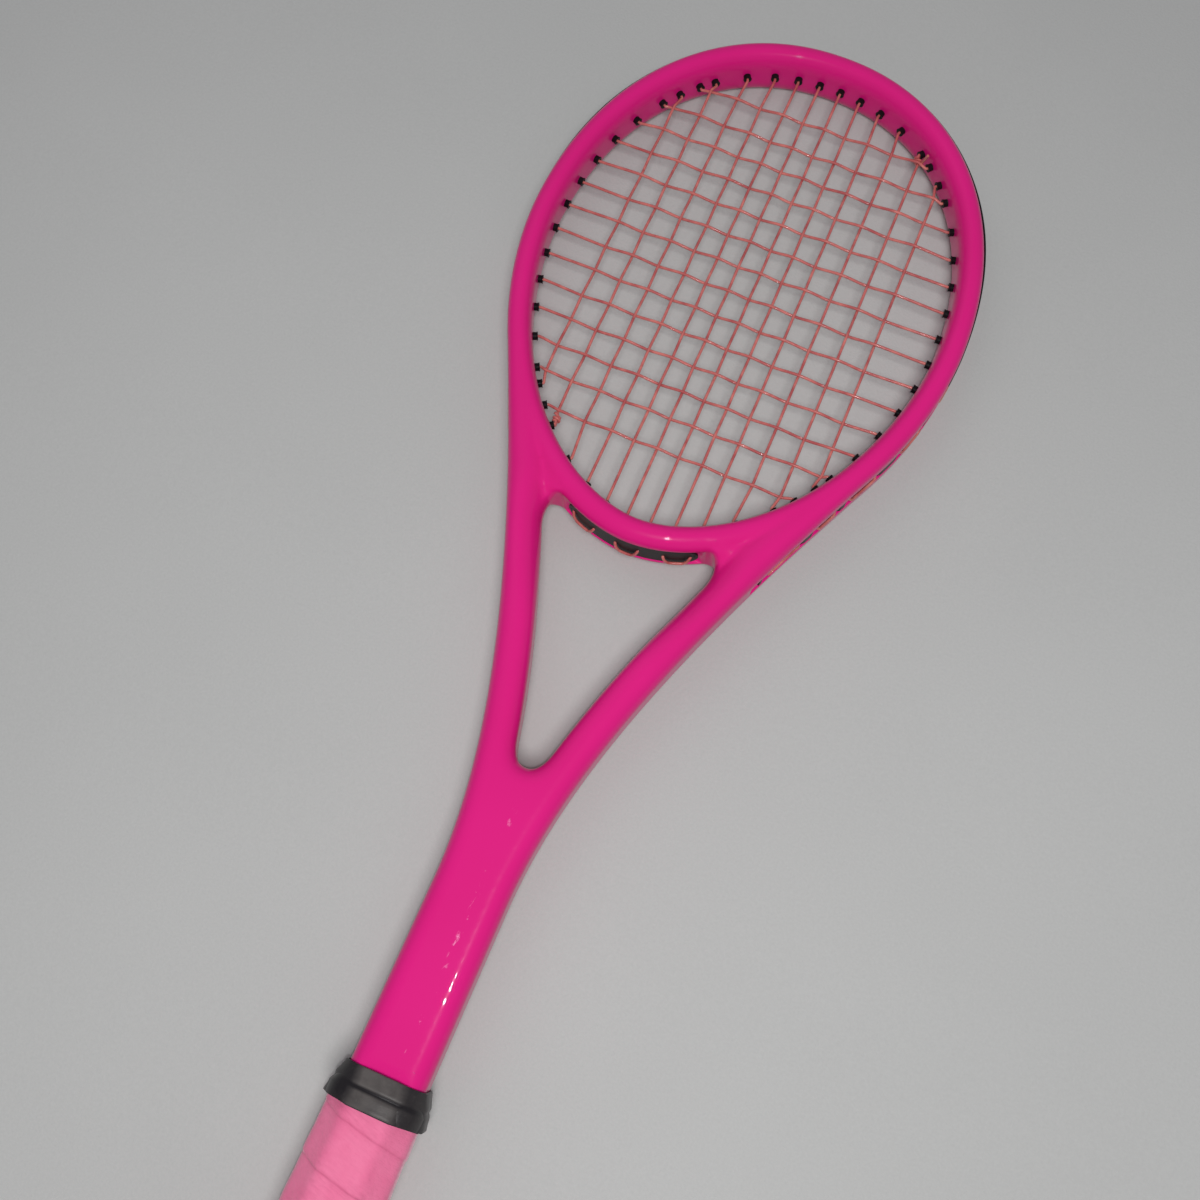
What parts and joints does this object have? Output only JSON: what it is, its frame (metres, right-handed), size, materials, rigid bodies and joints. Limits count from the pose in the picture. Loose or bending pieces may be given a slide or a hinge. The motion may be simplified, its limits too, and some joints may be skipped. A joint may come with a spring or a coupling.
{
  "type": "tennis training racket",
  "caption": "Strung training racket with an open throat, a wound grip under a rubber collar that slides up the shaft, and a butt cap whose end door pulls out.",
  "frame": {"origin": "middle of the flat end of the butt", "axes": "+Y along the racket from the butt to the head's tip, +Z square to the strings, out of the front face, +X to the right of a viewer who looks at the front face with the head up"},
  "size_m": [0.1978, 0.6858, 0.035],
  "materials": {
    "lacquer": "glossy hot pink lacquer over moulded fibre",
    "nylon": "moulded black nylon",
    "string": "rose copper coloured monofilament",
    "foam": "moulded rigid foam, hidden under the grip",
    "cap": "moulded black plastic",
    "steel": "bright staple wire, hidden under the grip",
    "base_grip": "black cushioned grip, hidden under the overgrip",
    "overgrip": "soft light pink wrap",
    "tape": "thin black tape",
    "rubber": "soft black rubber"
  },
  "bodies": {
    "racket": {"frame": "lacquer", "bumper_guard": "nylon", "grommet_strip_left": "nylon", "grommet_strip_right": "nylon", "grommet_strip_throat": "nylon", "string": "string", "handle_pallet_front": "foam", "handle_pallet_back": "foam", "foam_plug_left": "foam", "foam_plug_right": "foam", "butt_cap": "cap", "butt_cap_staple_left": "steel", "butt_cap_staple_right": "steel", "base_grip": "base_grip", "overgrip": "overgrip", "finishing_tape": "tape"},
    "collar": {"grip_collar": "rubber"},
    "door": {"butt_cap_door": "cap"}
  },
  "joints": [
    {"name": "collar_slide", "type": "slide", "parent": "racket", "child": "collar", "axis": [0, 1, 0], "range_m": [0, 0.05]},
    {"name": "butt_door_pull", "type": "slide", "parent": "racket", "child": "door", "axis": [0, -1, 0], "range_m": [0, 0.012]}
  ]
}
